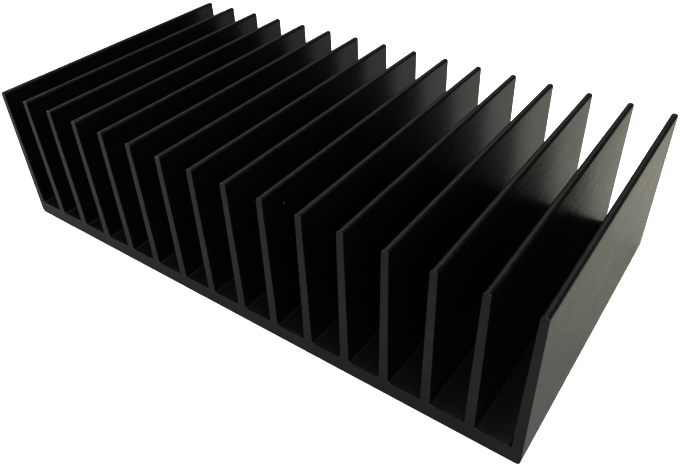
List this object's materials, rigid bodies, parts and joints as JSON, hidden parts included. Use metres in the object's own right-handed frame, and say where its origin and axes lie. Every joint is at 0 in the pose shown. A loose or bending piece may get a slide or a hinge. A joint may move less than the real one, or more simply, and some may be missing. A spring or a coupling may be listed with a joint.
{
  "type": "extruded heat sink",
  "caption": "Black anodised aluminium extruded heat sink: a flat base plate with a row of tall tapered straight fins, sawn to length.",
  "frame": {"origin": "middle of the flat underside of the base plate", "axes": "+X across the row of fins, +Y along the bar and its channels, +Z from the underside towards the tips of the fins"},
  "size_m": [0.1918, 0.1, 0.05],
  "materials": {
    "black_anodised": "black anodised aluminium, satin on the pressed faces with faint lines along the bar, duller on the two sawn ends"
  },
  "bodies": {
    "root": {"heat_sink": "black_anodised"}
  },
  "joints": []
}
